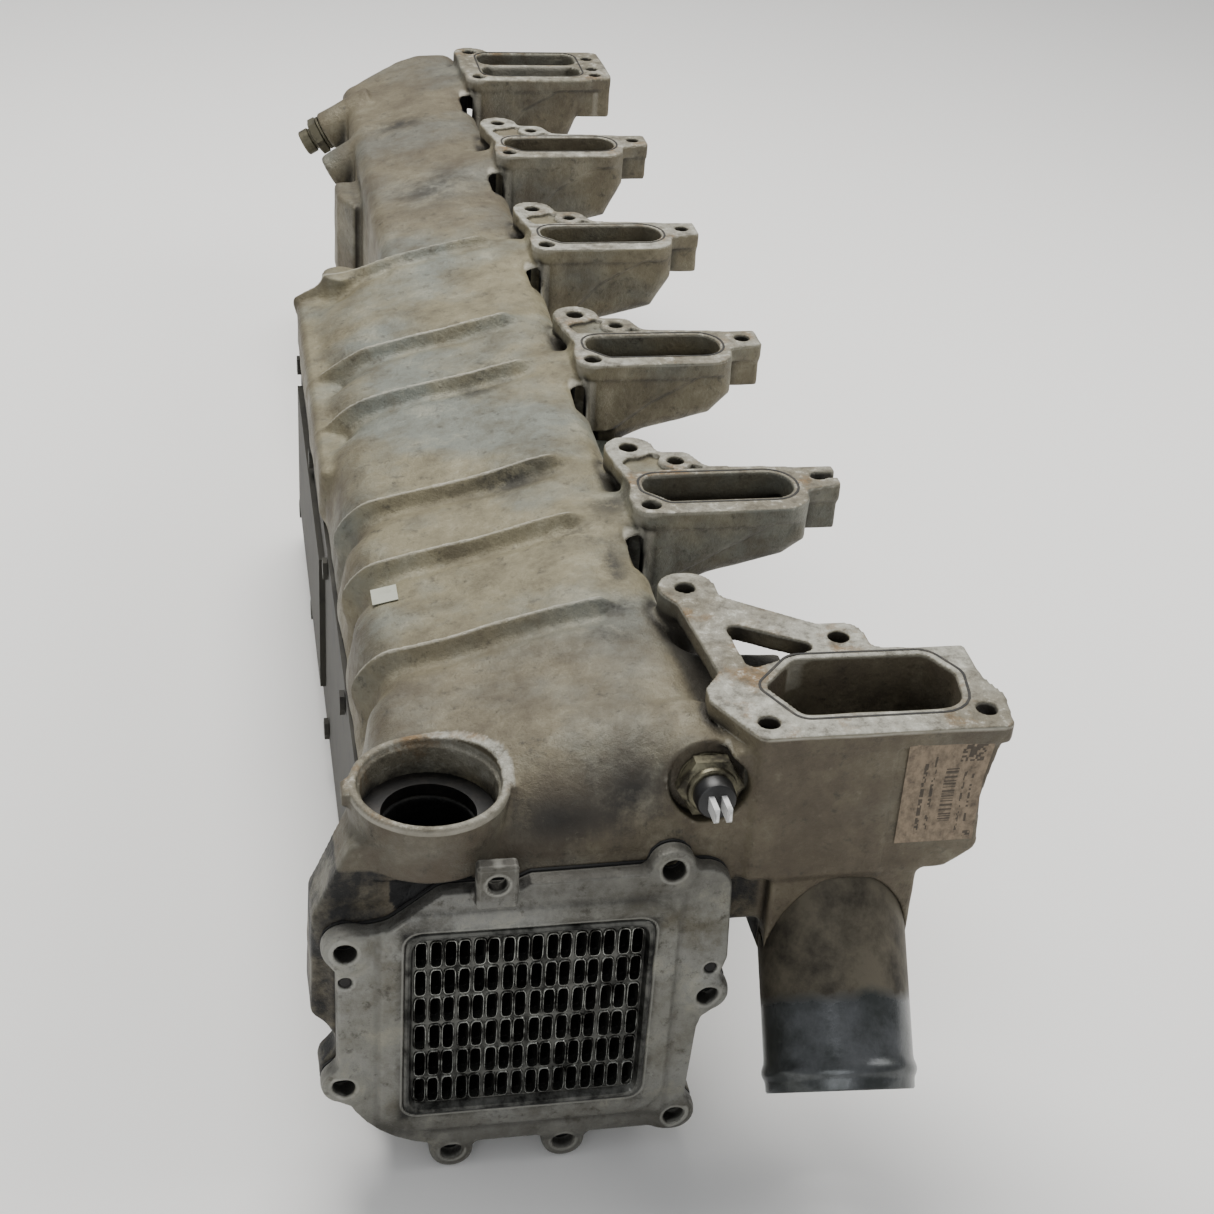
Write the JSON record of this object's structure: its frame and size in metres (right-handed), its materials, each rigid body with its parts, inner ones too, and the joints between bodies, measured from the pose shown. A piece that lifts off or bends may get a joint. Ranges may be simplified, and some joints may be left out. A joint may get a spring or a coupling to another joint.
{
  "type": "intake manifold",
  "caption": "Long cast-aluminium intake manifold with slotted port flanges, a built-in cooler core behind an end plate, a round neck, an angled pipe and a sensor.",
  "frame": {"origin": "middle of the underside of the bounding box", "axes": "+Z the way the port faces point, +Y along the row of ports away from the cooler's end plate, +X from the plenum towards the ports' outer ends"},
  "size_m": [0.2854, 0.9889, 0.2125],
  "materials": {
    "cast_aluminium": "sand cast, weathered",
    "machined_aluminium": "machined, dulled",
    "core_steel": "dull stainless",
    "pipe_metal": "turned, oily at the end",
    "zinc_steel": "zinc plated, dull",
    "gasket_sheet": "fibre sheet",
    "seal_rubber": "matt",
    "black_plastic": "moulded",
    "tinned_metal": "tinned",
    "label_paper": "aged paper label",
    "sticker_paper": "paper sticker"
  },
  "bodies": {
    "root": {"charge_pipe": "pipe_metal", "core_baffle_1": "core_steel", "core_baffle_2": "core_steel", "core_header_front": "core_steel", "core_header_rear": "core_steel", "core_plug": "zinc_steel", "core_seal_rear": "seal_rubber", "data_label": "label_paper", "end_plate": "machined_aluminium", "end_plate_gasket": "gasket_sheet", "fitting_washer": "zinc_steel", "inspection_sticker": "sticker_paper", "locating_dowel_1": "zinc_steel", "locating_dowel_2": "zinc_steel", "manifold_casting": "cast_aluminium", "neck_seat_ring": "core_steel", "port_seal_1": "seal_rubber", "port_seal_2": "seal_rubber", "port_seal_3": "seal_rubber", "port_seal_4": "seal_rubber", "port_seal_5": "seal_rubber", "port_seal_6": "seal_rubber", "rear_fitting": "zinc_steel", "sensor_body": "zinc_steel", "sensor_plug": "black_plastic", "sensor_terminal_1": "tinned_metal", "sensor_terminal_2": "tinned_metal", "sensor_washer": "zinc_steel", "side_cover": "cast_aluminium", "side_cover_bolt_01": "zinc_steel", "side_cover_bolt_02": "zinc_steel", "side_cover_bolt_03": "zinc_steel", "side_cover_bolt_04": "zinc_steel", "side_cover_bolt_05": "zinc_steel", "side_cover_bolt_06": "zinc_steel", "side_cover_bolt_07": "zinc_steel", "side_cover_bolt_08": "zinc_steel", "side_cover_bolt_09": "zinc_steel", "side_cover_bolt_10": "zinc_steel", "side_cover_gasket": "gasket_sheet", "tube_row_1": "core_steel", "tube_row_2": "core_steel", "tube_row_3": "core_steel", "tube_row_4": "core_steel", "tube_row_5": "core_steel", "tube_row_6": "core_steel"}
  },
  "joints": []
}
